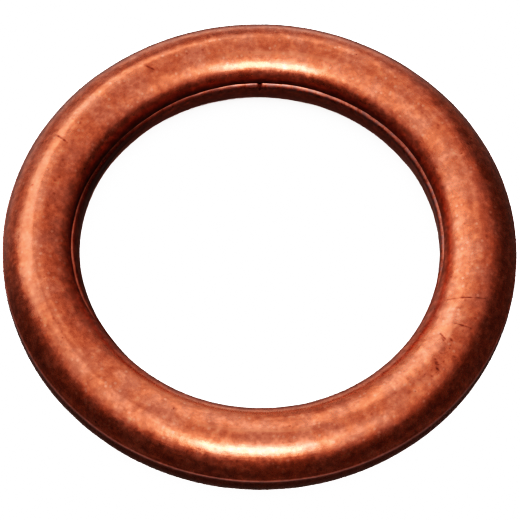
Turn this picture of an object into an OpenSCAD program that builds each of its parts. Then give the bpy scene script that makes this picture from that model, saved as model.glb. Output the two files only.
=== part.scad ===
// Copper crush washer for a drain plug or banjo bolt.
//
// One strip of soft copper sheet is rolled round into a hollow ring, so the
// whole part is a single piece.  The outside edge is one continuous bend.  The
// two cut edges of the strip meet on the bore side, where the lower edge stands
// a little proud of the upper one and leaves a fine open seam all the way round.
// Nothing fills the hollow: tightening the plug squashes it flat.
//
// The section is nearly round.  Forming has left the upper face with two
// slightly flatter flanks that meet at a soft crest, so the skin is described by
// its bend radius at a few tilts and is rolled out from the crest both ways.
//
// Millimetres.  The ring lies on z = 0 and its axis is +Z.

/* [Ring] */
// Outside diameter
outer_d = 20; // [19.8:0.02:20.2]
// Bore diameter, measured across the proud lower lip
bore_d = 14; // [13.9:0.02:14.04]
// Free height, before the ring is crushed
height = 3; // [2.94:0.01:3.04]
// Thickness of the copper sheet
sheet_t = 0.35; // [0.25:0.01:0.42]

/* [Upper skin] */
// Bend radius where the skin turns down into the bore
bend_bore = 1.5; // [1.4:0.01:1.6]
// Bend radius at the shoulder over the bore
bend_shoulder = 1.3; // [1.2:0.01:1.4]
// Bend radius on the flatter inner flank
bend_inner = 2.2; // [2.1:0.01:2.3]
// Bend radius at the soft crest
bend_crest = 0.5; // [0.45:0.01:0.6]
// Bend radius on the flatter outer flank
bend_outer = 1.9; // [1.8:0.01:2]
// Bend radius round the outside edge
bend_edge = 1.5; // [1.4:0.01:1.6]
// Radial width of the flat along the top of the crest
top_land = 0.06; // [0.04:0.01:0.1]

/* [Lower skin] */
// Bend radius from the base up to the lip in the bore
lower_r = 1.42; // [1.36:0.01:1.46]

/* [Seam] */
// Height of the lower lip's cut edge above the base
lip_z = 2; // [1.9:0.01:2.06]
// Open slit between the two cut edges
seam_gap = 0.06; // [0.04:0.01:0.1]
// Rounding on the bore side of the lower lip's cut edge
lip_round = 0.1; // [0.06:0.01:0.14]
// Rounding on the bore side of the upper cut edge
edge_round = 0.06; // [0.04:0.01:0.1]

/* [Quality] */
// Largest turn between neighbouring facets of the section, in degrees
facet = 4; // [2:0.5:6]
// Segments round the ring
segments = 180; // [72:12:360]

/* [Hidden] */
$fn = segments;

bore_r = bore_d / 2;
cut_z = lip_z + seam_gap;

// The skin's tilt is the angle of its outward normal from straight up:
// positive leans away from the axis, negative leans towards it.
function normal(a) = [sin(a), cos(a)];
function along(a) = [cos(a), -sin(a)];

// Bend radius of the upper skin at tilt a
function bend(a) = lookup(a, [
    [-90, bend_bore],
    [-38, bend_shoulder],
    [-20, bend_inner],
    [8, bend_crest],
    [30, bend_outer],
    [48, bend_outer],
    [66, bend_edge],
    [90, bend_edge],
]);

// Rolls the skin out from the crest to tilt a1: a list of [point, tilt]
function roll_out(a1) =
    let (k = ceil(abs(a1) / facet), d = a1 / k)
    [for (i = 0, p = [0, 0];
          i <= k;
          p = p + bend((i + 0.5) * d) * d * PI / 180 * along((i + 0.5) * d), i = i + 1)
        [p, i * d]];

// Points on a plain bend about c from tilt a0 to a1
function plain_bend(c, r, a0, a1) =
    let (k = ceil(abs(a1 - a0) / facet))
    [for (i = [0:k]) c + r * normal(a0 + (a1 - a0) * i / k)];

function backwards(v) = [for (i = [len(v) - 1:-1:0]) v[i]];

// The skin moved a depth below its outer surface
function below(skin, depth) = [for (s = skin) s[0] - depth * normal(s[1])];

// How far along a falling list of points the height z is reached, as an index
// with a fraction
function reach(pts, z) =
    let (i = [for (k = [0:len(pts) - 2]) if (pts[k].y > z && pts[k + 1].y <= z) k][0])
    i + (pts[i].y - z) / (pts[i].y - pts[i + 1].y);
function part_way(v, u) =
    let (i = floor(u), f = u - i) v[i] * (1 - f) + v[i + 1] * f;

// Outer half of the upper skin, from the crest to the outermost point
outer_roll = roll_out(90);
crest_r = outer_d / 2 - outer_roll[len(outer_roll) - 1][0].x - top_land / 2;
outer_skin = [for (s = outer_roll) [s[0] + [crest_r + top_land / 2, height], s[1]]];

// Outer half of the lower skin, one bend down to the base
base_bend_r = outer_skin[len(outer_skin) - 1][0].y;
base_bend_c = [outer_d / 2 - base_bend_r, base_bend_r];

// Inner half of the upper skin, from the crest down towards the bore
inner_skin = [for (s = roll_out(-90)) [s[0] + [crest_r - top_land / 2, height], s[1]]];
inner_tilts = [for (s = inner_skin) s[1]];

// Rounded end of the upper cut edge: a small bend that is tangent to the skin
// and to the cut
edge_path = below(inner_skin, edge_round);
edge_u = reach(edge_path, cut_z + edge_round);
edge_c = part_way(edge_path, edge_u);
edge_tilt = part_way(inner_tilts, edge_u);

// Inner face of the sheet at the upper cut edge
inner_face = below(inner_skin, sheet_t);
face_u = reach(inner_face, cut_z);

// Lower curl and its lip
curl_c = [bore_r + lower_r, lower_r];
lip_c = [bore_r + lip_round, lip_z - lip_round];

sheet_section = concat(
    // outer surface, from the upper cut edge over the crest and under to the lip
    plain_bend(edge_c, edge_round, -180, edge_tilt),
    backwards([for (i = [0:floor(edge_u)]) inner_skin[i][0]]),
    [for (i = [0:len(outer_skin) - 2]) outer_skin[i][0]],
    plain_bend(base_bend_c, base_bend_r, 90, 180),
    plain_bend(curl_c, lower_r, 180, 270),
    plain_bend(lip_c, lip_round, -90, 0),
    // and back along the hollow side of the sheet
    [[bore_r + sheet_t, lip_z]],
    plain_bend(curl_c, lower_r - sheet_t, 270, 180),
    plain_bend(base_bend_c, base_bend_r - sheet_t, 180, 90),
    backwards(below([for (i = [0:len(outer_skin) - 2]) outer_skin[i]], sheet_t)),
    [for (i = [0:floor(face_u)]) inner_face[i]],
    [part_way(inner_face, face_u)]
);

module crush_washer() {
    color([0.78, 0.40, 0.26])
        rotate_extrude() polygon(sheet_section);
}

crush_washer();
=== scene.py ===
"""Looks of the copper crush washer: one ring rolled from soft copper sheet.

The ring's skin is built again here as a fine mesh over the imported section, with
the seam, the lip and the handling marks as real shape.  Lengths are worked out
in millimetres and written to the mesh in metres.
"""
import math

import bpy
import numpy as np
from mathutils import Matrix, Vector


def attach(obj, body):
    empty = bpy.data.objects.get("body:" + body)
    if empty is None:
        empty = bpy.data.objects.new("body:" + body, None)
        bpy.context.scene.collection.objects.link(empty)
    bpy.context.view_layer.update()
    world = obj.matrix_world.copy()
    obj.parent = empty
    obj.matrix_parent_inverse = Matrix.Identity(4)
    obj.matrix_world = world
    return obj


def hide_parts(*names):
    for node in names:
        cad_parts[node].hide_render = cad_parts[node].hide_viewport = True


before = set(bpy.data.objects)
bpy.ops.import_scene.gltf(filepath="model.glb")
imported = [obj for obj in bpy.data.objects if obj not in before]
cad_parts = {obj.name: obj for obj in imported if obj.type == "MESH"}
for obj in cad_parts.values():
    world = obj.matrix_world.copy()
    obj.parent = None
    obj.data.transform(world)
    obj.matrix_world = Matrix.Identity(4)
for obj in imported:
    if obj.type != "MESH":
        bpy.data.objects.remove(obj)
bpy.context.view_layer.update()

scene = bpy.context.scene
MM = 0.001
rad = np.radians

# ----------------------------------------------------------------- the camera
ELEVATION = 62.811      # degrees above the table
ROLL = 1.719            # degrees the picture is turned
DISTANCE = 93.82        # mm from the middle of the ring
MIDDLE = Vector((0.0, 0.0, 1.5)) * MM

cam_data = bpy.data.cameras.new("photo_camera")
cam_data.sensor_width = 36.0
cam_data.lens = 166.83
cam_data.shift_x = 0.00036
cam_data.shift_y = -0.02643
cam_data.clip_start = 0.001
cam_data.clip_end = 20.0
cam_data.dof.use_dof = False
camera = bpy.data.objects.new("photo_camera", cam_data)
scene.collection.objects.link(camera)
e = math.radians(ELEVATION)
away = Vector((0.0, -math.cos(e), math.sin(e)))
camera.location = MIDDLE + away * DISTANCE * MM
camera.rotation_euler = (
    away.to_track_quat("Z", "Y").to_matrix() @ Matrix.Rotation(math.radians(ROLL), 3, "Z")
).to_euler()
scene.camera = camera

# ------------------------------------------------------- the section of the skin
# Tilt is the angle of the outward normal from straight up, in degrees; positive
# leans away from the axis.  These sizes are the ones of the CAD section.
OUTER_R = 10.0
BORE_R = 7.0
HEIGHT = 3.0
SHEET = 0.35
TOP_LAND = 0.06
LOWER_R = 1.42
EDGE_ROUND = 0.06
BEND_TILT = [-90.0, -38.0, -20.0, 8.0, 30.0, 48.0, 66.0, 90.0]
BEND_R = [1.5, 1.3, 2.2, 0.5, 1.9, 1.9, 1.5, 1.5]


def roll_out(end, step=0.25):
    """The skin from the crest to tilt end: radius, height, tilt and length along it."""
    k = int(abs(end) / step)
    d = end / k
    mid = np.radians((np.arange(k) + 0.5) * d)
    run = np.interp(np.degrees(mid), BEND_TILT, BEND_R) * math.radians(d)
    r = np.concatenate([[0.0], np.cumsum(run * np.cos(mid))])
    z = np.concatenate([[0.0], np.cumsum(-run * np.sin(mid))])
    s = np.concatenate([[0.0], np.cumsum(run)])
    return r, z, np.arange(k + 1) * d, s


o_r, o_z, o_a, o_s = roll_out(90.0)
i_r, i_z, i_a, i_s = roll_out(-90.0)
CREST_R = OUTER_R - o_r[-1] - TOP_LAND / 2
o_r, o_z = o_r + CREST_R + TOP_LAND / 2, o_z + HEIGHT
i_r, i_z = i_r + CREST_R - TOP_LAND / 2, i_z + HEIGHT
o_s, i_s = o_s + TOP_LAND / 2, i_s - TOP_LAND / 2
BASE_R = o_z[-1]
BASE_C = OUTER_R - BASE_R
CURL_C = BORE_R + LOWER_R
# from the bore to the crest, so that tilt and height both rise along the lists
i_r, i_z, i_a, i_s = i_r[::-1], i_z[::-1], i_a[::-1], i_s[::-1]


def skin_at(tilt):
    """Radius, height and length along the skin at a tilt from -90 to 90."""
    inside = tilt < 0
    r = np.where(inside, np.interp(tilt, i_a, i_r), np.interp(tilt, o_a, o_r))
    z = np.where(inside, np.interp(tilt, i_a, i_z), np.interp(tilt, o_a, o_z))
    s = np.where(inside, np.interp(tilt, i_a, i_s), np.interp(tilt, o_a, o_s))
    return r, z, s


# ------------------------------------------------------------- handling marks
# Creases, scratches and pits in the skin: (angle, tilt) of the two ends in
# degrees, half width in mm, depth in mm.  Angle 0 is +X and 270 faces the camera.
MARKS = [
    ((123.8, 1.0), (121.8, -13.5), 0.062, 0.0180),     # scratch over the crest
    ((153.9, 30.0), (155.3, -8.0), 0.052, 0.0140),     # crease across the outer flank
    ((150.2, 18.5), (150.3, 19.5), 0.040, 0.0080),     # pit beside it
    ((24.6, -0.8), (24.9, 0.8), 0.060, 0.0140),        # pit on the crest
    ((339.6, -31.0), (342.9, 27.0), 0.040, 0.0062),    # fine crease right across
    ((333.0, -9.0), (333.9, 20.0), 0.046, 0.0120),     # short crease
    ((328.9, -19.5), (327.5, -3.0), 0.046, 0.0150),    # double scratch
    ((328.0, -15.0), (326.6, -3.0), 0.040, 0.0110),
    ((321.6, 0.0), (320.7, 9.0), 0.105, 0.0250),       # two dents in a row
    ((320.3, 15.0), (320.0, 20.5), 0.100, 0.0220),
    ((299.2, -35.0), (299.7, -33.5), 0.060, 0.0150),   # nick over the bore
    ((311.8, 20.0), (312.0, 22.0), 0.060, 0.0080),     # shallow round pit
    ((196.0, -4.0), (196.4, -2.0), 0.035, 0.0070),
    ((214.0, 12.0), (213.2, 16.0), 0.035, 0.0080),
    ((248.0, -18.0), (248.6, -14.0), 0.035, 0.0070),
    ((66.0, 10.0), (65.2, 15.0), 0.035, 0.0080),
    ((101.0, 22.0), (101.3, 27.0), 0.035, 0.0070),
    ((12.0, 40.0), (11.0, 52.0), 0.040, 0.0090),
    ((232.0, 60.0), (234.5, 66.0), 0.045, 0.0090),
    ((285.0, 48.0), (285.8, 55.0), 0.040, 0.0090),
    ((170.0, 55.0), (172.0, 58.0), 0.040, 0.0090),
    ((78.0, 64.0), (80.5, 62.0), 0.040, 0.0090),
]
# Shallow dents: angle, tilt, radius in mm, depth in mm.
DENTS = [
    (331.0, 12.0, 0.30, 0.0135), (326.0, 6.0, 0.26, 0.0110), (322.5, 14.0, 0.34, 0.0135),
    (336.5, -8.0, 0.28, 0.0090), (317.0, 2.0, 0.30, 0.0090), (312.0, 20.0, 0.22, 0.0100),
    (345.5, 10.0, 0.26, 0.0050), (152.0, 8.0, 0.24, 0.0060), (121.0, -4.0, 0.30, 0.0060),
    (205.0, -12.0, 0.32, 0.0050), (229.0, 10.0, 0.30, 0.0050), (101.0, -10.0, 0.28, 0.0050),
    (63.0, -14.0, 0.30, 0.0050), (22.0, 14.0, 0.26, 0.0055), (261.0, 26.0, 0.34, 0.0050),
    (283.0, -14.0, 0.28, 0.0055), (183.0, 24.0, 0.30, 0.0060), (40.0, 30.0, 0.30, 0.0060),
]
# Pale scuffs, rubbed bright: (angle, tilt) of the two ends, half width in mm.
SCUFFS = [
    ((330.9, -9.5), (329.0, -8.0), 0.10), ((329.1, 31.5), (328.6, 29.0), 0.06),
    ((337.7, 15.5), (337.4, 17.0), 0.06), ((334.2, 45.0), (334.0, 46.5), 0.06),
    ((323.7, 31.0), (322.6, 27.0), 0.07), ((312.2, 26.0), (311.0, 23.0), 0.07),
    ((319.1, 28.0), (318.2, 25.0), 0.06), ((150.3, 18.0), (150.1, 21.0), 0.07),
    ((256.0, -3.5), (262.6, -5.0), 0.055), ((262.6, -5.0), (271.4, -6.5), 0.06),
    ((271.4, -6.5), (276.5, -4.5), 0.06), ((276.5, -4.5), (284.0, -1.5), 0.055),
    ((104.0, -19.5), (98.8, -20.5), 0.06), ((98.8, -20.5), (87.4, -20.0), 0.06),
    ((87.4, -20.0), (77.2, -17.5), 0.06), ((77.2, -17.5), (70.0, -16.5), 0.055),
]
# and a pitted patch at the lower right, with flecks between the pits
patch_rng = np.random.default_rng(77)
PITS = []
for _ in range(24):
    a, b = patch_rng.uniform(316.0, 337.0), patch_rng.uniform(-6.0, 26.0)
    du, dv = patch_rng.uniform(-0.9, 0.9), patch_rng.uniform(0.5, 4.0)
    PITS.append(((a, b), (a + du, b + dv), patch_rng.uniform(0.045, 0.070), patch_rng.uniform(0.004, 0.010)))
    a, b = patch_rng.uniform(314.0, 338.0), patch_rng.uniform(-8.0, 32.0)
    SCUFFS.append(((a, b), (a + patch_rng.uniform(-0.9, 0.9), b + patch_rng.uniform(0.5, 3.0)),
                   patch_rng.uniform(0.040, 0.065)))
SEAM_BREAK = 91.6      # angle of a small break in the lip

# ------------------------------------------------------------ angles round the ring
SEGMENTS = 860
fine = np.linspace(0.0, 360.0, 36001)
weight = np.ones_like(fine)
for a0, a1, _, _ in MARKS:
    m = 0.5 * (a0[0] + a1[0])
    near = (fine - m + 180.0) % 360.0 - 180.0
    weight += 2.2 * np.exp(-((near / (0.55 + 0.5 * abs(a0[0] - a1[0]))) ** 2))
near = (fine - SEAM_BREAK + 180.0) % 360.0 - 180.0
weight += 1.5 * np.exp(-((near / 0.7) ** 2))
total = np.concatenate([[0.0], np.cumsum(0.5 * (weight[1:] + weight[:-1]))])
theta = np.interp(np.arange(SEGMENTS) / SEGMENTS * total[-1], total, fine)
th = np.radians(theta)[:, None]

rng = np.random.default_rng(14020)


def wobble(angle, along, size, count):
    """Smooth seamless unevenness over the skin, about -1 to 1; size is its wavelength in mm."""
    out = np.zeros(np.broadcast(angle, along).shape)
    for _ in range(count):
        turns = int(round(2 * math.pi * 8.5 / size * rng.uniform(0.4, 1.6)))
        ka = rng.uniform(-1.0, 1.0) * 2 * math.pi / size
        out = out + np.cos(turns * angle + ka * along + rng.uniform(0, 2 * math.pi))
    return out / math.sqrt(count / 2.0) / 1.6


# --------------------------------------------------------------- the seam's course
# The strip was not cut quite square, so the lip's height, its bevel and how far it
# stands proud of the upper leg change round the ring.
def course(points):
    """A smooth closed course through (angle, value) points."""
    ang = np.arange(0.0, 360.0, 0.5)
    val = np.interp(ang, [q[0] for q in points], [q[1] for q in points], period=360.0)
    k = np.fft.rfftfreq(len(ang), 1.0 / len(ang))
    val = np.fft.irfft(np.fft.rfft(val) * np.exp(-((k / 14.0) ** 2)), len(ang))
    return np.interp(theta, ang, val, period=360.0)[:, None]


lip_z = course([(0, 2.09), (30, 2.05), (60, 2.01), (90, 1.965), (120, 1.91), (140, 1.95), (155, 2.08),
                (168, 2.26), (178, 2.34), (190, 2.38), (200, 2.38), (208, 2.30), (218, 2.10), (232, 1.88), (270, 1.84),
                (310, 1.86), (330, 1.93), (345, 2.02)])
lip_z = (lip_z + 0.008 * np.cos(9 * th + 0.7) + 0.006 * np.cos(17 * th + 2.1)
         + 0.004 * np.cos(41 * th + 4.0))
bevel = course([(0, -30), (40, -30), (70, -35), (90, -44), (110, -45), (140, -48), (180, -50),
                (230, -46), (300, -38), (340, -32)])
bevel = bevel + 2.5 * np.cos(29 * th + 0.3) + 2.0 * np.cos(47 * th + 1.9) + 1.5 * np.cos(83 * th)
bevel_wide = course([(0, 0.165), (40, 0.165), (70, 0.140), (90, 0.120), (120, 0.100), (180, 0.085),
                     (230, 0.090), (300, 0.120), (340, 0.155)])
bevel_wide = bevel_wide + 0.012 * np.cos(23 * th + 2.0) + 0.008 * np.cos(61 * th)
proud = 0.050 + 0.020 * np.cos(th - rad(45.0)) + 0.004 * np.cos(13 * th)
near = (np.degrees(th) - SEAM_BREAK + 180.0) % 360.0 - 180.0
notch = np.exp(-((near / 0.42) ** 2))
closed = course([(0, 0.0), (108, 0.0), (135, 0.8), (165, 1.0), (200, 0.7), (222, 0.0), (360, 0.0)])
gap = (0.022 + 0.006 * np.cos(7 * th + 1.0)) * (1.0 - 0.55 * closed)
cut_z = lip_z + gap
lip_z = lip_z - 0.10 * notch

# ------------------------------------------------------------------ the section, ring by ring
rows_r, rows_z, rows_nr, rows_nz, rows_s, kind = [], [], [], [], [], []
one = np.ones_like(th)


def add(r, z, nr, nz, s, what):
    rows_r.append(r * one); rows_z.append(z * one)
    rows_nr.append(nr * one); rows_nz.append(nz * one)
    rows_s.append(s * one); kind.append(what)


def add_skin(tilt, what="skin"):
    r, z, s = skin_at(tilt)
    a = np.radians(tilt)
    add(r, z, np.sin(a), np.cos(a), s, what)


edge_pr = i_r - EDGE_ROUND * np.sin(rad(i_a))
edge_pz = i_z - EDGE_ROUND * np.cos(rad(i_a))
face_r = i_r - SHEET * np.sin(rad(i_a))
face_z = i_z - SHEET * np.cos(rad(i_a))
edge_tilt = np.interp(cut_z + EDGE_ROUND, edge_pz, i_a)
edge_cr = np.interp(edge_tilt, i_a, edge_pr)
edge_cz = np.interp(edge_tilt, i_a, edge_pz)
edge_s = np.interp(edge_tilt, i_a, i_s)
face_tilt = np.interp(cut_z, face_z, i_a)

# upper cut edge, from the hollow side to the skin
add(np.interp(face_tilt, i_a, face_r), cut_z, 0.0, -1.0, edge_s - 0.5, "cut")
add(0.5 * (np.interp(face_tilt, i_a, face_r) + edge_cr), cut_z, 0.0, -1.0, edge_s - 0.25, "cut")
for f in np.linspace(0.0, 1.0, 5):
    a = rad(-180.0 + f * (edge_tilt + 180.0))
    add(edge_cr + EDGE_ROUND * np.sin(a), edge_cz + EDGE_ROUND * np.cos(a),
        np.sin(a), np.cos(a), edge_s - 0.08 * (1 - f), "edge")

# upper skin: bore flank, crest, outer flank; points closer where the bend is tight
N_IN, N_OUT = 24, 23
for f in np.linspace(0.0, 1.0, N_IN + 1)[1:]:
    add_skin(edge_tilt * (1 - f) - 1e-9)
# a fine ridge left by the forming tool runs low on the outside; rows follow it
ridge_at = 1.826 + 0.010 * np.cos(3 * th + 0.4) + 0.006 * np.cos(8 * th + 1.0)
ridge_top = np.interp(-(ridge_at + 0.11), -o_z, o_a)
measure = (o_s - o_s[0]) / (o_s[-1] - o_s[0]) * 0.55 + o_a / 90.0 * 0.45
span = np.interp(ridge_top, o_a, measure)
for f in np.linspace(0.0, 1.0, N_OUT):
    add_skin(np.interp(f * span, measure, o_a))
for dz in (0.072, 0.044, 0.020, 0.0, -0.020, -0.044, -0.075):
    add_skin(np.interp(-(ridge_at + dz), -o_z, o_a))
ridge_foot = np.interp(-(ridge_at - 0.075), -o_z, o_a)
for f in (0.35, 0.68, 1.0):
    add_skin(ridge_foot + f * (90.0 - ridge_foot))

# outside edge down to the base, flat base, and up into the bore
s0 = o_s[-1]
N_LOW = 8
for f in np.linspace(0.0, 1.0, N_LOW + 1)[1:]:
    a = rad(90.0 + 90.0 * f)
    add(BASE_C + BASE_R * math.sin(a), BASE_R + BASE_R * math.cos(a), math.sin(a), math.cos(a),
        s0 + BASE_R * (a - math.pi / 2), "under")
s0 += BASE_R * math.pi / 2 + (BASE_C - CURL_C)
for f in np.linspace(0.0, 1.0, N_LOW + 1):
    a = rad(180.0 + 90.0 * f)
    add(CURL_C + LOWER_R * math.sin(a), LOWER_R + LOWER_R * math.cos(a), math.sin(a), math.cos(a),
        s0 + LOWER_R * (a - math.pi), "under")
s0 += LOWER_R * math.pi / 2

# lip: follows the bore side of the skin, a little proud of it, with a worn bevel on top
def lip_wall(z):
    lean = np.interp(z, i_z, i_r) - proud - BORE_R
    return BORE_R + 0.5 * (lean + np.sqrt(lean * lean + 0.0004))


lean = np.arctan((lip_wall(lip_z - 0.12) - lip_wall(lip_z - 0.18)) / 0.06)
wall_tilt = np.minimum(np.degrees(lean) - 90.0, bevel - 14.0)
# tilts along the lip's top: a soft corner, the bevel, a small corner, the cut
steps = []
for f0, f1 in ((0.0, 0.25), (0.25, 0.5), (0.5, 0.75), (0.75, 1.0)):
    t0, t1 = [wall_tilt + f * (bevel - 7.0 - wall_tilt) for f in (f0, f1)]
    steps.append((t1, 0.5 * (t0 + t1), 0.17 * rad(t1 - t0)))
for f0, f1 in ((-7.0, 0.0), (0.0, 7.0)):
    steps.append((bevel + f1, bevel + 0.5 * (f0 + f1), 0.5 * bevel_wide))
for f0, f1 in ((0.0, 0.5), (0.5, 1.0)):
    t0, t1 = [(bevel + 7.0) * (1.0 - f) for f in (f0, f1)]
    steps.append((t1, 0.5 * (t0 + t1), 0.05 * rad(t1 - t0)))
rise = sum(-run * np.sin(rad(mid)) for _, mid, run in steps)
wall_top = lip_z - rise
for f in (0.2, 0.4, 0.6, 0.8, 1.0):
    z = LOWER_R + f * (wall_top - LOWER_R)
    wall_r = lip_wall(z)
    add(wall_r, z, np.sin(rad(wall_tilt)), np.cos(rad(wall_tilt)), s0 + z - LOWER_R, "lip")
lip_r, lip_h, lip_s = wall_r, wall_top, s0 + wall_top - LOWER_R
for tilt, mid, run in steps:
    lip_r = lip_r + run * np.cos(rad(mid))
    lip_h = lip_h - run * np.sin(rad(mid))
    lip_s = lip_s + run
    add(lip_r, lip_h, np.sin(rad(tilt)), np.cos(rad(tilt)), lip_s, "lip")
lip_back = np.maximum(lip_r + 0.08, wall_r + SHEET - 0.03)
add(lip_back, lip_z, 0.0, 1.0, lip_s + 0.2, "cut")

# back along the hollow side of the sheet
s1 = s0 + 1.4
add(BORE_R + SHEET, LOWER_R + 0.15, 1.0, 0.0, s1, "hollow")
for f in np.linspace(0.0, 1.0, 4):
    a = rad(270.0 - 90.0 * f)
    add(CURL_C + (LOWER_R - SHEET) * math.sin(a), LOWER_R + (LOWER_R - SHEET) * math.cos(a),
        -math.sin(a), -math.cos(a), s1 + 0.2 + 1.6 * f, "hollow")
for f in np.linspace(0.0, 1.0, 4):
    a = rad(180.0 - 90.0 * f)
    add(BASE_C + (BASE_R - SHEET) * math.sin(a), BASE_R + (BASE_R - SHEET) * math.cos(a),
        -math.sin(a), -math.cos(a), s1 + 2.0 + 1.6 * f, "hollow")
for f in np.linspace(0.0, 1.0, 6)[1:]:
    a = 90.0 * (1 - f)
    r, z, _ = skin_at(np.array(a))
    add(r - SHEET * math.sin(rad(a)), z - SHEET * math.cos(rad(a)), -math.sin(rad(a)), -math.cos(rad(a)),
        s1 + 3.7 + 2.0 * f, "hollow")
for f in np.linspace(0.0, 1.0, 6)[:-1]:
    a = face_tilt * f - 1e-9
    add(np.interp(a, i_a, face_r), np.interp(a, i_a, face_z), -np.sin(rad(a)), -np.cos(rad(a)),
        s1 + 5.8 + 1.6 * f, "hollow")

R = np.concatenate(rows_r, 1)
Z = np.concatenate(rows_z, 1)
NR = np.concatenate(rows_nr, 1)
NZ = np.concatenate(rows_nz, 1)
S = np.concatenate(rows_s, 1)
kind = np.array(kind)
rings = R.shape[1]
shown = np.isin(kind, ["skin", "edge"])[None, :]
outer = np.isin(kind, ["skin", "under"])[None, :]

# unevenness from rolling and handling; it fades out where the ring rests, so that
# the crest and the base keep their heights
keep = np.clip((HEIGHT - Z) / 0.10, 0.0, 1.0) * np.clip(Z / 0.25, 0.0, 1.0)
uneven = 0.0048 * wobble(th, S, 4.5, 14) + 0.0030 * wobble(th, S, 1.6, 18) + 0.0012 * wobble(th, S, 0.62, 26)
push = np.where(outer, uneven * (0.25 + 0.75 * keep), 0.0)
push = np.where(outer, np.minimum(push, 0.004 * keep), push)
# the outer flank is rolled a little fuller on the left
fuller = course([(90, 0.0), (125, 0.5), (150, 1.0), (205, 1.0), (230, 0.4), (250, 0.0), (360, 0.0)])
push = push + np.where(outer, 0.006 * fuller * np.exp(-(((S - np.interp(42.0, o_a, o_s)) / 0.22) ** 2)), 0.0)

# the marks
mark = np.zeros_like(R)
for (t0, a0), (t1, a1), half, depth in MARKS + PITS:
    r0, _, s_0 = skin_at(np.array(a0))
    r1, _, s_1 = skin_at(np.array(a1))
    rm = 0.5 * (r0 + r1)
    du, ds = math.radians(t1 - t0) * rm, s_1 - s_0
    u = np.radians((np.degrees(th) - t0 + 180.0) % 360.0 - 180.0) * rm
    v = S - s_0
    f = np.clip((u * du + v * ds) / (du * du + ds * ds + 1e-12), 0.0, 1.0)
    dist = np.hypot(u - f * du, v - f * ds)
    taper = 0.35 + 0.65 * np.sin(math.pi * np.clip(0.12 + 0.76 * f, 0, 1))
    taper = taper * (0.72 + 0.28 * np.cos(23.0 * f + 40.0 * t0) * np.cos(9.0 * f + t0))
    groove = np.exp(-((dist / half) ** 2)) * taper
    burr = np.exp(-(((dist - 1.9 * half) / (0.7 * half)) ** 2)) * taper
    push = push - np.where(shown, depth * groove - 0.22 * depth * burr * keep, 0.0)
    mark = np.maximum(mark, np.where(shown, groove * min(1.0, depth / 0.006), 0.0))

for t0, a0, wide, depth in DENTS:
    r0, _, s_0 = skin_at(np.array(a0))
    u = np.radians((np.degrees(th) - t0 + 180.0) % 360.0 - 180.0) * r0
    dist = np.hypot(u, (S - s_0) * 1.15)
    push = push - np.where(shown, depth * np.exp(-((dist / wide) ** 4)), 0.0)

scuff_and_sheen = np.zeros_like(R)
for (t0, a0), (t1, a1), half in SCUFFS:
    r0, _, s_0 = skin_at(np.array(a0))
    r1, _, s_1 = skin_at(np.array(a1))
    rm = 0.5 * (r0 + r1)
    du, ds = math.radians(t1 - t0) * rm, s_1 - s_0
    u = np.radians((np.degrees(th) - t0 + 180.0) % 360.0 - 180.0) * rm
    v = S - s_0
    f = np.clip((u * du + v * ds) / (du * du + ds * ds + 1e-12), 0.0, 1.0)
    scuff_and_sheen = np.maximum(scuff_and_sheen, np.where(shown, np.exp(-((np.hypot(u - f * du, v - f * ds) / half) ** 2)), 0.0))

# painted highlight: a brighter band on the outer flank where it is rolled fuller on the left
scuff_and_sheen = np.maximum(scuff_and_sheen, 0.42 * fuller * np.where(shown, np.exp(-(((S - np.interp(28.0, o_a, o_s)) / 0.36) ** 2)), 0.0))

ridge = np.exp(-(((Z - ridge_at) / 0.048) ** 2)) * outer * (NR > 0.5)
push = push + 0.036 * ridge

r = R + push * NR
z = Z + push * NZ
x = r * np.cos(th)
y = r * np.sin(th)
verts = np.stack([x, y, z], 2).reshape(-1, 3) * MM

i = np.arange(SEGMENTS)[:, None]
j = np.arange(rings)[None, :]
i2, j2 = (i + 1) % SEGMENTS, (j + 1) % rings
quads = np.stack([i * rings + j, i * rings + j2, i2 * rings + j2, i2 * rings + j], 2).reshape(-1, 4)

mesh = bpy.data.meshes.new("washer")
mesh.from_pydata(verts.tolist(), [], quads.tolist())
mesh.update()
mesh.validate()
mesh.shade_smooth()

# where each point lies, for the material
n = SEGMENTS * rings
# painted shade in the seam: near black on the cut faces and on the upper edge, less where the gap is closed
seam_shade = np.where(np.isin(kind, ["cut"])[None, :], 1.0, 0.0) * np.ones_like(R)
seam_shade = np.maximum(seam_shade, np.where((kind == "edge")[None, :], np.clip(1.0 - (S - (edge_s - 0.08)) / 0.08, 0, 1) * (1.0 - 0.6 * closed), 0.0))
# how rubbed the lip is round the ring; where it is low, the lip and its corner get painted shade
lip_rub_and_light = course([(0, 1.0), (60, 1.0), (88, 0.90), (118, 0.75), (135, 0.34), (146, 0.05), (163, 0.05), (171, 0.25),
                 (178, 0.50), (195, 0.48), (208, 0.20), (270, 0.30), (330, 0.60)])
# painted shade at the lip's top corner where the lip is little rubbed
corner = np.where((kind == "lip")[None, :] & (NR > np.sin(rad(bevel + 12.0))), 1.0, 0.0)
seam_shade = np.maximum(seam_shade, corner * np.clip(0.55 - 1.0 * lip_rub_and_light, 0.0, 0.35))
lip_top = np.where((kind == "lip")[None, :], np.clip(1.0 - (wall_top + 0.04 - Z) / 0.16, 0.0, 1.0), 0.0)
bore = np.where((kind == "lip")[None, :], np.clip((wall_top + 0.05 - Z) / 0.40, 0.0, 1.0), 0.0)
bore = np.where((kind == "under")[None, :], np.clip((S - (s0 - 1.9)) / 0.7, 0.0, 1.0), bore)
reach = 0.31 + 0.11 * np.sin(th)
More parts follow.
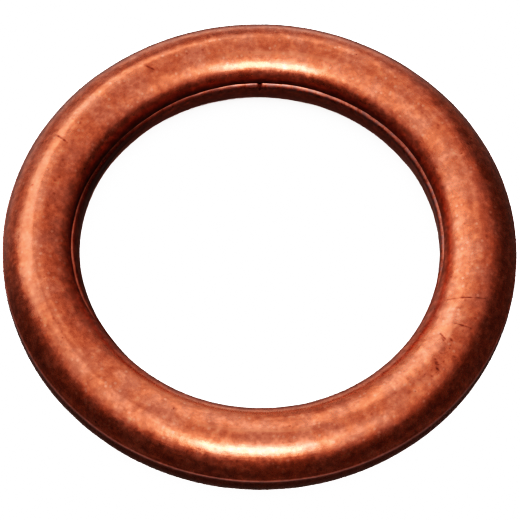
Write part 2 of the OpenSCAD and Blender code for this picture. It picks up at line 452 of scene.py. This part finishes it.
# painted shade beside the seam on the bore side, heaviest round the far side, darkening what would mirror the key
# light
seam_shade_course = course([(0, 0.35), (40, 0.60), (80, 1.0), (150, 1.0), (185, 0.8), (215, 0.40), (270, 0.15), (330, 0.20)])
seam_side_shade = np.where(np.isin(kind, ["skin", "edge"])[None, :] & (NR < 0), seam_shade_course * np.exp(-(((S - edge_s) / reach) ** 2)), 0.0)
dull = np.where(np.isin(kind, ["skin", "edge"])[None, :] & (NR < 0), np.exp(-(((S - edge_s) / 0.42) ** 2)), 0.0)
dull = dull * (0.55 - 0.45 * np.sin(th))
# painted light: a paler strip on the bore flank, only on the side facing the camera, which offsets a red reflection
# from the far wall
painted_light_bore_flank = np.where(np.isin(kind, ["skin", "edge"])[None, :] & (NR < 0), np.exp(-(((S - np.interp(-34.5, i_a, i_s)) / 0.17) ** 2)), 0.0)
painted_light_bore_flank = painted_light_bore_flank * np.clip(-1.9 * np.sin(th) - 0.9, 0.0, 1.0)
# painted shade on the lip where it is little rubbed
seam_side_shade = np.where((kind == "lip")[None, :], np.clip(1.45 - 2.2 * lip_rub_and_light, 0.0, 1.45), seam_side_shade)
# painted shade at the lip's break: the notch is marked dark
mark = np.where((kind == "lip")[None, :], np.maximum(mark, notch * np.clip(1.0 - (wall_top - Z) / 0.16, 0.0, 1.0)), mark)
# painted shade: the outside below the ridge, which faces the table, is darker
under = np.where(outer, np.clip((ridge_at - 0.03 - Z) / 0.10, 0.0, 1.0) * np.clip((NR + 0.3) / 0.5, 0.0, 1.0), 0.0)
# painted shade: darker still right at the seam's edge
seam_edge_shade = np.where(np.isin(kind, ["skin", "edge"])[None, :] & (NR < 0), seam_shade_course * np.exp(-(((S - edge_s) / 0.17) ** 2)), 0.0)
hollow = np.where((kind == "hollow")[None, :], 1.0, 0.0) * np.ones_like(R)
for name, values in (("seam", seam_shade), ("lip", lip_top * lip_rub_and_light), ("mark", mark), ("ridge", ridge), ("hollow", hollow), ("bore", bore), ("seam_side_shade", seam_side_shade), ("dull", dull),
                     ("scuff_and_sheen", scuff_and_sheen), ("painted_light_bore_flank", painted_light_bore_flank), ("under", under), ("seam_edge_shade", seam_edge_shade)):
    layer = mesh.attributes.new(name, "FLOAT", "POINT")
    layer.data.foreach_set("value", np.ascontiguousarray(values * np.ones_like(R)).reshape(-1).astype(np.float32))
flow = np.stack([8.5 * np.cos(th) + 0 * R, 8.5 * np.sin(th) + 0 * R, S], 2).reshape(-1, 3)
layer = mesh.attributes.new("flow", "FLOAT_VECTOR", "POINT")
layer.data.foreach_set("vector", flow.reshape(-1).astype(np.float32))

# one strip unrolled round the ring, for the baked export
seg_len = np.hypot(np.roll(R, -1, 1) - R, np.roll(Z, -1, 1) - Z).mean(0)
v_edge = np.concatenate([[0.0], np.cumsum(seg_len)]) / seg_len.sum()
u_edge = np.concatenate([theta, [theta[0] + 360.0]]) / 360.0
u0 = np.broadcast_to(u_edge[:-1, None], (SEGMENTS, rings)); u1 = np.broadcast_to(u_edge[1:, None], (SEGMENTS, rings))
v0 = np.broadcast_to(v_edge[None, :-1], (SEGMENTS, rings)); v1 = np.broadcast_to(v_edge[None, 1:], (SEGMENTS, rings))
uv = np.stack([np.stack([u0, v0], 2), np.stack([u0, v1], 2), np.stack([u1, v1], 2), np.stack([u1, v0], 2)], 2)
uv_layer = mesh.uv_layers.new(name="OFBake")
uv_layer.data.foreach_set("uv", (0.002 + 0.996 * uv).reshape(-1).astype(np.float32))

washer = bpy.data.objects.new("washer", mesh)
scene.collection.objects.link(washer)


# ------------------------------------------------------------------- the material
class Nodes:
    """Short calls for building a node tree."""

    def __init__(self, tree):
        self.tree = tree

    def new(self, kind, **props):
        node = self.tree.nodes.new(kind)
        for k, v in props.items():
            setattr(node, k, v)
        return node

    def put(self, socket, value):
        if isinstance(value, bpy.types.NodeSocket):
            self.tree.links.new(value, socket)
        else:
            socket.default_value = value

    def math(self, op, a, b=None, c=None, clamp=False):
        node = self.new("ShaderNodeMath", operation=op, use_clamp=clamp)
        for k, v in enumerate((a, b, c)):
            if v is not None:
                self.put(node.inputs[k], v)
        return node.outputs[0]

    def vector(self, op, a, b=None):
        node = self.new("ShaderNodeVectorMath", operation=op)
        self.put(node.inputs[0], a)
        if b is not None:
            self.put(node.inputs[1], b)
        return node.outputs["Value"] if op in ("DOT_PRODUCT", "LENGTH") else node.outputs[0]

    def remap(self, value, lo, hi, to_lo=0.0, to_hi=1.0, smooth=True):
        node = self.new("ShaderNodeMapRange", interpolation_type="SMOOTHSTEP" if smooth else "LINEAR")
        for k, v in enumerate((value, lo, hi, to_lo, to_hi)):
            self.put(node.inputs[k], v)
        return node.outputs[0]

    def mix(self, factor, a, b, blend="MIX"):
        node = self.new("ShaderNodeMix", data_type="RGBA", blend_type=blend)
        self.put(node.inputs[0], factor)
        self.put(node.inputs[6], a)
        self.put(node.inputs[7], b)
        return node.outputs[2]

    def noise(self, vector, scale, detail=2.0, rough=0.5, distortion=0.0):
        node = self.new("ShaderNodeTexNoise", noise_dimensions="3D")
        self.put(node.inputs["Vector"], vector)
        node.inputs["Scale"].default_value = scale
        node.inputs["Detail"].default_value = detail
        node.inputs["Roughness"].default_value = rough
        node.inputs["Distortion"].default_value = distortion
        return node.outputs["Fac"]

    def cells(self, vector, scale, feature="F1", jitter=1.0):
        node = self.new("ShaderNodeTexVoronoi", voronoi_dimensions="3D", feature=feature)
        self.put(node.inputs["Vector"], vector)
        node.inputs["Scale"].default_value = scale
        node.inputs["Randomness"].default_value = jitter
        return node

    def attribute(self, name):
        return self.new("ShaderNodeAttribute", attribute_name=name)


copper = bpy.data.materials.new("rolled_copper")
copper.use_nodes = True
copper.node_tree.nodes.clear()
g = Nodes(copper.node_tree)
out = g.new("ShaderNodeOutputMaterial")
shader = g.new("ShaderNodeBsdfPrincipled")
copper.node_tree.links.new(shader.outputs[0], out.inputs[0])
shader.inputs["Metallic"].default_value = 1.0
shader.inputs["Coat Weight"].default_value = 0.5
shader.inputs["Coat Roughness"].default_value = 0.16
shader.inputs["Coat IOR"].default_value = 1.5

place = g.vector("MULTIPLY", g.new("ShaderNodeTexCoord").outputs["Object"], (1000.0, 1000.0, 1000.0))  # mm
flow_at = g.attribute("flow").outputs["Vector"]
streak_at = g.vector("MULTIPLY", flow_at, (0.32, 0.32, 7.0))
drawn_at = g.vector("MULTIPLY", flow_at, (0.9, 0.9, 4.6))
grain_at = g.vector("MULTIPLY", flow_at, (0.6, 0.6, 1.0))

seam = g.attribute("seam").outputs["Fac"]
lip = g.attribute("lip").outputs["Fac"]
marks = g.attribute("mark").outputs["Fac"]
ridge_mask = g.attribute("ridge").outputs["Fac"]
hollow_mask = g.attribute("hollow").outputs["Fac"]
bore_mask = g.attribute("bore").outputs["Fac"]
seam_side_shade_mask = g.attribute("seam_side_shade").outputs["Fac"]
dull_mask = g.attribute("dull").outputs["Fac"]
scuff_and_sheen_mask = g.attribute("scuff_and_sheen").outputs["Fac"]
painted_light_bore_flank_mask = g.attribute("painted_light_bore_flank").outputs["Fac"]
low_flank_shade_mask = g.attribute("under").outputs["Fac"]
seam_edge_shade_mask = g.attribute("seam_edge_shade").outputs["Fac"]

grain = g.cells(place, 6.0)                 # crystals about 0.14 mm across
grain_tint = g.vector("DOT_PRODUCT", grain.outputs["Color"], (0.80, 0.20, 0.0))
fine_grain = g.cells(place, 11.0)
fine_tint = g.vector("DOT_PRODUCT", fine_grain.outputs["Color"], (1.0, 0.0, 0.0))
mottle = g.noise(place, 1.1, 3.0, 0.55)
patch = g.noise(place, 0.42, 2.0, 0.5)
streak = g.noise(streak_at, 1.0, 3.0, 0.6)
speck_noise = g.noise(grain_at, 9.0, 1.0, 0.5)

# colour: orange copper that turns pinker and browner in patches
colour = g.mix(g.remap(mottle, 0.36, 0.66), (0.835, 0.274, 0.164, 1.0), (0.823, 0.304, 0.206, 1.0))
colour = g.mix(g.math("MULTIPLY", g.remap(patch, 0.52, 0.74), 0.30), colour, (0.704, 0.220, 0.132, 1.0))
shade = g.math("ADD", 0.905, g.math("MULTIPLY", grain_tint, 0.19))
shade = g.math("MULTIPLY", shade, g.math("ADD", 0.985, g.math("MULTIPLY", fine_tint, 0.03)))
shade = g.math("MULTIPLY", shade, g.math("ADD", 0.93, g.math("MULTIPLY", streak, 0.14)))
tone = g.noise(place, 3.6, 2.0, 0.62)
drawn = g.noise(drawn_at, 1.0, 2.0, 0.70)
shade = g.math("MULTIPLY", shade, g.math("ADD", 0.78, g.math("MULTIPLY", g.math("POWER", tone, 2.5), 1.22)))
shade = g.math("MULTIPLY", shade, g.math("ADD", 0.80, g.math("MULTIPLY", drawn, 0.40)))
cloud = g.noise(place, 1.7, 2.0, 0.65)
shade = g.math("MULTIPLY", shade, g.math("ADD", 0.905, g.math("MULTIPLY", cloud, 0.20)))
grey = g.new("ShaderNodeCombineColor")
for k in range(3):
    g.put(grey.inputs[k], shade)
colour = g.mix(1.0, colour, grey.outputs[0], "MULTIPLY")
# a few bare bright crystals and dark pinholes
spots = g.cells(place, 5.4)
pick = g.new("ShaderNodeSeparateColor")
g.put(pick.inputs[0], spots.outputs["Color"])
core = g.remap(spots.outputs["Distance"], 0.14, 0.46, 1.0, 0.0)
bare = g.math("MULTIPLY", core, g.remap(pick.outputs[0], 0.72, 0.90))
hole = g.math("MULTIPLY", core, g.remap(pick.outputs[1], 0.955, 0.975))
colour = g.mix(g.math("MULTIPLY", bare, 0.80), colour, (0.97, 0.42, 0.30, 1.0))
# rubbed scuffs, and the painted highlight band on the left outer flank
colour = g.mix(g.math("MULTIPLY", scuff_and_sheen_mask, g.remap(mottle, 0.35, 0.60, 0.30, 0.85)), colour, (1.0, 0.380, 0.245, 1.0))
colour = g.mix(g.math("MULTIPLY", hole, 0.42), colour, (0.38, 0.100, 0.055, 1.0))
# painted light: the paler strip on the near bore flank
colour = g.mix(g.math("MULTIPLY", painted_light_bore_flank_mask, 0.72), colour, (0.94, 0.435, 0.280, 1.0))
# tarnish in the bore; painted shade beside the seam, at its edge, on the lip where it is little rubbed and on the
# outside below the ridge; rubbed lip and tool ridge
colour = g.mix(g.math("MULTIPLY", bore_mask, 0.72), colour, (0.46, 0.205, 0.165, 1.0))
colour = g.mix(g.math("MULTIPLY", seam_side_shade_mask, 0.52), colour, (0.18, 0.076, 0.055, 1.0))
colour = g.mix(g.math("MULTIPLY", seam_edge_shade_mask, 0.55), colour, (0.13, 0.060, 0.045, 1.0))
colour = g.mix(g.math("MULTIPLY", low_flank_shade_mask, 0.46), colour, (0.34, 0.128, 0.095, 1.0))
lip_wear = g.noise(place, 3.6, 2.0, 0.70)
lip_rub = g.math("MULTIPLY", lip, g.remap(lip_wear, 0.40, 0.60, 0.25, 1.0))
colour = g.mix(g.math("MULTIPLY", lip, g.remap(lip_wear, 0.36, 0.50, 0.65, 0.0)), colour, (0.25, 0.090, 0.065, 1.0))
colour = g.mix(lip_rub, colour, (0.46, 0.245, 0.217, 1.0))
colour = g.mix(g.math("MULTIPLY", ridge_mask, 0.80), colour, (0.86, 0.52, 0.49, 1.0))
# darker in the marks, painted shade in the seam gap and at the lip's break, dull hollow side
colour = g.mix(g.math("MULTIPLY", g.remap(marks, 0.20, 0.85), 0.80), colour, (0.20, 0.050, 0.028, 1.0))
colour = g.mix(g.math("MULTIPLY", seam, 0.9), colour, (0.09, 0.020, 0.014, 1.0))
colour = g.mix(g.math("MULTIPLY", hollow_mask, 0.8), colour, (0.18, 0.053, 0.031, 1.0))
g.put(shader.inputs["Base Color"], colour)

# roughness: satin, duller in patches and in the marks, polished on the lip
rough = g.math("ADD", 0.185, g.math("MULTIPLY", mottle, 0.09))
rough = g.math("ADD", rough, g.math("MULTIPLY", fine_tint, 0.05))
rough = g.math("ADD", rough, g.math("MULTIPLY", streak, 0.04))
rough = g.math("ADD", rough, g.math("MULTIPLY", marks, 0.20))
rough = g.math("ADD", rough, g.math("MULTIPLY", ridge_mask, 0.28))
rough = g.math("ADD", rough, g.math("MULTIPLY", lip, 0.14))
rough = g.math("ADD", rough, g.math("MULTIPLY", bore_mask, 0.34))
rough = g.math("ADD", rough, g.math("MULTIPLY", dull_mask, 0.22))
rough = g.math("SUBTRACT", rough, g.math("MULTIPLY", scuff_and_sheen_mask, 0.10))
rough = g.math("ADD", rough, g.math("MULTIPLY", seam_edge_shade_mask, 0.18))
rough = g.math("ADD", rough, g.math("MULTIPLY", g.math("MAXIMUM", seam, hollow_mask), 0.30), clamp=True)
g.put(shader.inputs["Roughness"], rough)

# bump: crystal facets, a fine peel and faint rolling lines
lean_of = g.vector("SUBTRACT", grain.outputs["Color"], (0.5, 0.5, 0.5))
fine_lean = g.vector("SUBTRACT", fine_grain.outputs["Color"], (0.5, 0.5, 0.5))
facet = g.vector("ADD", g.new("ShaderNodeNewGeometry").outputs["Normal"],
                 g.vector("MULTIPLY", lean_of, (0.013, 0.013, 0.013)))
facet = g.vector("ADD", facet, g.vector("MULTIPLY", fine_lean, (0.010, 0.010, 0.010)))
facet = g.vector("NORMALIZE", facet)
height = g.math("MULTIPLY", grain.outputs["Distance"], 0.5)
height = g.math("ADD", height, g.math("MULTIPLY", speck_noise, 0.7))
height = g.math("ADD", height, g.math("MULTIPLY", streak, 1.5))
bump = g.new("ShaderNodeBump")
bump.inputs["Strength"].default_value = 1.0
bump.inputs["Distance"].default_value = 0.0000017
g.put(bump.inputs["Height"], height)
g.put(bump.inputs["Normal"], facet)
g.put(shader.inputs["Normal"], bump.outputs[0])

mesh.materials.append(copper)
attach(washer, "root")
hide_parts("crush_washer")

# ---------------------------------------------------------------------- the floor
floor_mesh = bpy.data.meshes.new("floor")
F = 1.5
floor_mesh.from_pydata([(-F, -F, 0), (F, -F, 0), (F, F, 0), (-F, F, 0)], [], [(0, 1, 2, 3)])
floor = bpy.data.objects.new("floor", floor_mesh)
floor.location.z = -0.00002
scene.collection.objects.link(floor)
paper = bpy.data.materials.new("white_floor")
paper.use_nodes = True
paper_shader = paper.node_tree.nodes["Principled BSDF"]
paper_shader.inputs["Base Color"].default_value = (0.86, 0.86, 0.86, 1.0)
paper_shader.inputs["Roughness"].default_value = 0.9
paper_shader.inputs["Specular IOR Level"].default_value = 0.0
floor_mesh.materials.append(paper)
floor.visible_glossy = False


# --------------------------------------------------------------------- the lights
def toward(azimuth, elevation):
    """Unit direction: azimuth 0 is the camera's side, +90 the right, in degrees."""
    a, b = math.radians(azimuth), math.radians(elevation)
    return Vector((math.sin(a) * math.cos(b), -math.cos(a) * math.cos(b), math.sin(b)))


GAIN = 1.125           # brightness of the whole set


def softbox(name, azimuth, elevation, wide, tall, distance, radiance, roll=0.0):
    """A soft rectangular light that faces the ring; wide and tall are the angles it fills."""
    data = bpy.data.lights.new(name, "AREA")
    data.shape = "RECTANGLE"
    data.size = 2 * distance * math.tan(math.radians(wide / 2))
    data.size_y = 2 * distance * math.tan(math.radians(tall / 2))
    data.energy = 4.0 * data.size * data.size_y * radiance * GAIN
    light = bpy.data.objects.new(name, data)
    d = toward(azimuth, elevation)
    light.location = d * distance
    light.rotation_euler = (
        d.to_track_quat("Z", "Y").to_matrix() @ Matrix.Rotation(math.radians(roll), 3, "Z")
    ).to_euler()
    light.visible_camera = False
    light.visible_diffuse = False
    scene.collection.objects.link(light)
    return light


softbox("key_softbox", -2.0, 50.7, 29.0, 14.4, 0.8, 7.2)
softbox("back_softbox", -129.5, 32.0, 58.0, 29.5, 0.8, 0.88, -8.0)
softbox("rear_panel", 178.0, 34.0, 24.0, 30.0, 0.8, 0.46)

world = bpy.data.worlds.new("studio")
world.use_nodes = True
scene.world = world
world.cycles.sampling_method = "NONE"
w = Nodes(world.node_tree)
world.node_tree.nodes.clear()
w_out = w.new("ShaderNodeOutputWorld")
direction = w.vector("NORMALIZE", w.new("ShaderNodeTexCoord").outputs["Generated"])
split = w.new("ShaderNodeSeparateXYZ")
w.put(split.inputs[0], direction)
up = split.outputs["Z"]
# dim low room, paler overhead
level = w.remap(up, 0.25, 1.02, 0.24, 1.13)
# pale wall behind the ring, seen down to the table and in it
flat = w.new("ShaderNodeCombineXYZ")
w.put(flat.inputs[0], split.outputs["X"])
w.put(flat.inputs[1], split.outputs["Y"])
flat_dir = w.vector("NORMALIZE", flat.outputs[0])
behind = w.vector("DOT_PRODUCT", flat_dir, tuple(toward(-156.0, 0.0)))
wall = w.math("MULTIPLY", w.remap(behind, 0.375, 0.83), w.remap(up, 0.60, 0.95, 0.62, 0.0))
wall = w.math("MULTIPLY", wall, w.remap(up, -0.20, 0.15, 0.55, 1.0))
wall = w.math("MULTIPLY", wall, w.remap(up, -0.70, -0.32, 0.35, 1.0))
level = w.math("ADD", level, wall)
# and its foot, where the table is lit
foot = w.remap(w.vector("DOT_PRODUCT", flat_dir, tuple(toward(-178.0, 0.0))), 0.88, 0.99)
foot = w.math("MULTIPLY", foot, w.remap(up, -0.50, -0.20, 0.0, 1.0))
level = w.math("ADD", level, w.math("MULTIPLY", foot, w.remap(up, -0.06, -0.17, 0.0, 0.92)))
side = w.math("MULTIPLY", w.remap(up, -0.80, -0.48, 0.0, 1.0), w.remap(w.vector("DOT_PRODUCT", flat_dir, tuple(toward(-140.0, 0.0))), 0.86, 0.98))
level = w.math("ADD", level, w.math("MULTIPLY", side, w.remap(up, -0.06, -0.42, 0.0, 0.30)))
# the table in front
front = w.remap(w.vector("DOT_PRODUCT", flat_dir, tuple(toward(0.0, 0.0))), -0.20, 0.50)
front = w.math("MULTIPLY", front, w.remap(up, -0.66, -0.46, 0.0, 1.0))
level = w.math("ADD", level, w.math("MULTIPLY", front, w.remap(up, -0.22, -0.42, 0.0, 0.10)))
# soft fills from the front and the sides, a pale patch high at the back with a dim
# one on the wall under it, and a dimmer place high at the back right
for azimuth, elevation, spread, amount in ((-54.0, 56.0, 0.80, 0.60), (46.0, 49.0, 0.85, 0.60),
                                           (-168.0, 53.5, 0.964, 0.58), (-167.0, 11.0, 0.962, -0.24),
                                           (166.0, 20.0, 0.965, 0.54), (-42.0, 53.0, 0.972, 0.45),
                                           (37.0, 49.0, 0.972, 0.42), (162.0, 53.0, 0.948, -0.42),
                                           (-117.0, 59.0, 0.95, 0.36), (121.0, 25.0, 0.92, 0.14),
                                           (-75.0, 15.0, 0.92, 0.11), (0.0, 17.0, 0.93, 0.13),
                                           (-158.0, 66.0, 0.965, -0.14), (173.0, 68.0, 0.978, 0.20),
                                           (146.0, -15.0, 0.945, 0.09)):
    near_it = w.vector("DOT_PRODUCT", direction, tuple(toward(azimuth, elevation)))
    level = w.math("ADD", level, w.remap(near_it, spread, 1.0, 0.0, amount))

path = w.new("ShaderNodeLightPath")
room = w.new("ShaderNodeBackground")
for_room = w.new("ShaderNodeCombineColor")
level = w.math("MULTIPLY", level, GAIN)
for k in range(3):
    w.put(for_room.inputs[k], level)
w.put(room.inputs["Color"], for_room.outputs[0])
white = w.new("ShaderNodeBackground")
white.inputs["Color"].default_value = (1.0, 1.0, 1.0, 1.0)
white.inputs["Strength"].default_value = 9.0
choose = w.new("ShaderNodeMixShader")
w.put(choose.inputs[0], w.math("MAXIMUM", path.outputs["Is Camera Ray"], path.outputs["Is Diffuse Ray"]))
w.put(choose.inputs[1], room.outputs[0])
w.put(choose.inputs[2], white.outputs[0])
w.put(w_out.inputs["Surface"], choose.outputs[0])

# ------------------------------------------------- the picture's contrast, as on film
scene.view_settings.view_transform = "Standard"
scene.view_settings.look = "None"
scene.view_settings.exposure = 0.0
scene.view_settings.gamma = 1.0
TOP = 4.5
RESPONSE = [
    (0.0, 0.0), (0.065, 0.0025), (0.10, 0.0063), (0.162, 0.018), (0.255, 0.0474), (0.403, 0.119),
    (0.635, 0.269), (0.80, 0.380), (1.0, 0.500), (1.255, 0.622), (1.406, 0.700), (1.576, 0.798),
    (1.70, 0.862), (1.847, 0.915), (2.10, 0.955), (2.48, 0.975), (3.11, 0.991), (4.28, 1.0), (TOP, 1.0),
]
scene.view_settings.use_curve_mapping = True
mapping = scene.view_settings.curve_mapping
mapping.initialize()
mapping.white_level = (TOP, TOP, TOP)
mapping.extend = "HORIZONTAL"
curve = mapping.curves[3]
for px, py in RESPONSE[1:-1]:
    curve.points.new(px / TOP, py)
curve.points[0].location = (0.0, 0.0)
curve.points[len(curve.points) - 1].location = (1.0, 1.0)
mapping.update()
